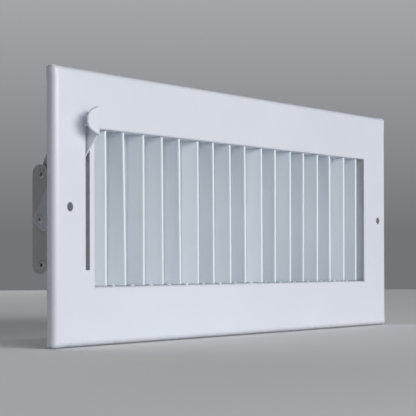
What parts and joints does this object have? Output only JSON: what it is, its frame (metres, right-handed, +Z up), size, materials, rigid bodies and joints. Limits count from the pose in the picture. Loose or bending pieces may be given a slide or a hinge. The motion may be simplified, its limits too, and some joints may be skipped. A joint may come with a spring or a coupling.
{
  "type": "louvred air grille",
  "caption": "Stamped steel wall register with upright vanes that turn one by one and a lever-worked multi-blade damper behind them.",
  "frame": {"origin": "on the front surface of the face, at its centre, midway between the two screw holes", "axes": "+X to the right across the face, +Y back into the wall and duct, +Z up; the face looks towards -Y"},
  "size_m": [0.3492, 0.0487, 0.146],
  "materials": {
    "face_enamel": "smooth white baked enamel, semi-gloss",
    "vane_enamel": "white baked enamel, semi-gloss",
    "frame_enamel": "thin white baked enamel over folded sheet steel",
    "damper_enamel": "thin white baked enamel over sheet steel",
    "lever_enamel": "white baked enamel, slightly worn at the tab",
    "link_enamel": "thin white baked enamel over sheet steel",
    "rivet_metal": "plated steel with overspray of white enamel"
  },
  "bodies": {
    "housing": {"face_plate": "face_enamel", "end_plate_left": "frame_enamel", "end_plate_right": "frame_enamel", "frame_rivets": "rivet_metal", "blade_pivots_left": "rivet_metal", "blade_pivots_right": "rivet_metal"},
    "vane_01": {"vane_01": "vane_enamel"},
    "vane_02": {"vane_02": "vane_enamel"},
    "vane_03": {"vane_03": "vane_enamel"},
    "vane_04": {"vane_04": "vane_enamel"},
    "vane_05": {"vane_05": "vane_enamel"},
    "vane_06": {"vane_06": "vane_enamel"},
    "vane_07": {"vane_07": "vane_enamel"},
    "vane_08": {"vane_08": "vane_enamel"},
    "vane_09": {"vane_09": "vane_enamel"},
    "vane_10": {"vane_10": "vane_enamel"},
    "vane_11": {"vane_11": "vane_enamel"},
    "vane_12": {"vane_12": "vane_enamel"},
    "vane_13": {"vane_13": "vane_enamel"},
    "vane_14": {"vane_14": "vane_enamel"},
    "vane_15": {"vane_15": "vane_enamel"},
    "vane_16": {"vane_16": "vane_enamel"},
    "vane_17": {"vane_17": "vane_enamel"},
    "damper_top": {"damper_blade_top": "damper_enamel"},
    "damper_middle": {"damper_blade_middle": "damper_enamel", "operating_lever": "lever_enamel", "drive_rivet": "rivet_metal"},
    "damper_bottom": {"damper_blade_bottom": "damper_enamel"},
    "link": {"link_bar": "link_enamel", "link_rivets": "rivet_metal"}
  },
  "joints": [
    {"name": "vane_01_turn", "type": "hinge", "parent": "housing", "child": "vane_01", "pos_m": [-0.1344, 0.0088, 0], "axis": [0, 0, 1], "range_deg": [-98, 42]},
    {"name": "vane_02_turn", "type": "hinge", "parent": "housing", "child": "vane_02", "pos_m": [-0.1176, 0.0088, 0], "axis": [0, 0, 1], "range_deg": [-84, 56]},
    {"name": "vane_03_turn", "type": "hinge", "parent": "housing", "child": "vane_03", "pos_m": [-0.1008, 0.0088, 0], "axis": [0, 0, 1], "range_deg": [-84, 56]},
    {"name": "vane_04_turn", "type": "hinge", "parent": "housing", "child": "vane_04", "pos_m": [-0.084, 0.0088, 0], "axis": [0, 0, 1], "range_deg": [-88, 52]},
    {"name": "vane_05_turn", "type": "hinge", "parent": "housing", "child": "vane_05", "pos_m": [-0.0672, 0.0088, 0], "axis": [0, 0, 1], "range_deg": [-81, 59]},
    {"name": "vane_06_turn", "type": "hinge", "parent": "housing", "child": "vane_06", "pos_m": [-0.0504, 0.0088, 0], "axis": [0, 0, 1], "range_deg": [-96, 44]},
    {"name": "vane_07_turn", "type": "hinge", "parent": "housing", "child": "vane_07", "pos_m": [-0.0336, 0.0088, 0], "axis": [0, 0, 1], "range_deg": [-77, 63]},
    {"name": "vane_08_turn", "type": "hinge", "parent": "housing", "child": "vane_08", "pos_m": [-0.0168, 0.0088, 0], "axis": [0, 0, 1], "range_deg": [-84, 56]},
    {"name": "vane_09_turn", "type": "hinge", "parent": "housing", "child": "vane_09", "pos_m": [0, 0.0088, 0], "axis": [0, 0, 1], "range_deg": [-73, 67]},
    {"name": "vane_10_turn", "type": "hinge", "parent": "housing", "child": "vane_10", "pos_m": [0.0168, 0.0088, 0], "axis": [0, 0, 1], "range_deg": [-92, 48]},
    {"name": "vane_11_turn", "type": "hinge", "parent": "housing", "child": "vane_11", "pos_m": [0.0336, 0.0088, 0], "axis": [0, 0, 1], "range_deg": [-73, 67]},
    {"name": "vane_12_turn", "type": "hinge", "parent": "housing", "child": "vane_12", "pos_m": [0.0504, 0.0088, 0], "axis": [0, 0, 1], "range_deg": [-82, 58]},
    {"name": "vane_13_turn", "type": "hinge", "parent": "housing", "child": "vane_13", "pos_m": [0.0672, 0.0088, 0], "axis": [0, 0, 1], "range_deg": [-71, 69]},
    {"name": "vane_14_turn", "type": "hinge", "parent": "housing", "child": "vane_14", "pos_m": [0.084, 0.0088, 0], "axis": [0, 0, 1], "range_deg": [-77, 63]},
    {"name": "vane_15_turn", "type": "hinge", "parent": "housing", "child": "vane_15", "pos_m": [0.1008, 0.0088, 0], "axis": [0, 0, 1], "range_deg": [-68, 72]},
    {"name": "vane_16_turn", "type": "hinge", "parent": "housing", "child": "vane_16", "pos_m": [0.1176, 0.0088, 0], "axis": [0, 0, 1], "range_deg": [-84, 56]},
    {"name": "vane_17_turn", "type": "hinge", "parent": "housing", "child": "vane_17", "pos_m": [0.1344, 0.0088, 0], "axis": [0, 0, 1], "range_deg": [-77, 63]},
    {"name": "damper_lever_swing", "type": "hinge", "parent": "housing", "child": "damper_middle", "pos_m": [-0.1456, 0.03005, 0], "axis": [1, 0, 0], "range_deg": [0, 84]},
    {"name": "top_blade_turn", "type": "hinge", "parent": "housing", "child": "damper_top", "pos_m": [-0.1456, 0.03005, 0.0245], "axis": [1, 0, 0], "range_deg": [-1, 85]},
    {"name": "bottom_blade_turn", "type": "hinge", "parent": "housing", "child": "damper_bottom", "pos_m": [-0.1456, 0.03005, -0.0245], "axis": [1, 0, 0], "range_deg": [-1, 85]},
    {"name": "link_bar_swing", "type": "hinge", "parent": "damper_middle", "child": "link", "pos_m": [-0.14755, 0.03349, -0.00551], "axis": [1, 0, 0], "range_deg": [-85, 1]}
  ],
  "couplings": [
    {"joint": "top_blade_turn", "follows": "damper_lever_swing", "ratio": 1},
    {"joint": "bottom_blade_turn", "follows": "damper_lever_swing", "ratio": 1},
    {"joint": "link_bar_swing", "follows": "damper_lever_swing", "ratio": -1}
  ]
}
